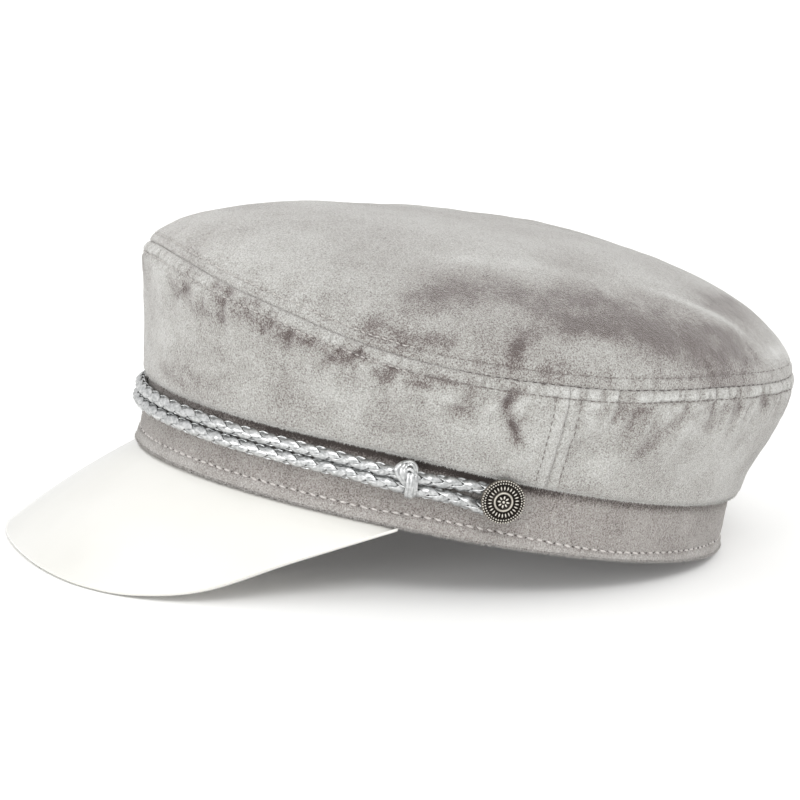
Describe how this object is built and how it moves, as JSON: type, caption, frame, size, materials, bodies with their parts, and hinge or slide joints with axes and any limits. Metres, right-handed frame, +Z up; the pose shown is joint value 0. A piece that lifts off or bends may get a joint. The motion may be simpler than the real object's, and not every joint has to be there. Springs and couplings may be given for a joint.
{
  "type": "captain hat",
  "caption": "Soft domed captain's cap with a stitched head band, a stiff glossy peak, a doubled braided cord strap, knots and side buttons.",
  "frame": {"origin": "on the surface the cap stands on, under the middle of its bounding box, on its plane of symmetry", "axes": "+Z up from that surface, -Y where the wearer looks (the peak), +X the wearer's left"},
  "size_m": [0.2001, 0.2668, 0.1132],
  "materials": {
    "crown_velvet": "light grey crushed velvet with a soft sheen",
    "band_velvet": "grey velvet, a little darker and browner",
    "patent_leather": "white patent, high gloss",
    "foil_cord": "silver foil laces, braided",
    "pewter": "antiqued pewter, worn bright on the high places"
  },
  "bodies": {
    "root": {"crown_top": "crown_velvet", "crown_side_front": "crown_velvet", "crown_side_rear": "crown_velvet", "band": "band_velvet", "peak": "patent_leather", "strap_cord_upper": "foil_cord", "strap_cord_lower": "foil_cord", "knot_left": "foil_cord", "knot_right": "foil_cord", "button_left": "pewter", "button_right": "pewter"}
  },
  "joints": []
}
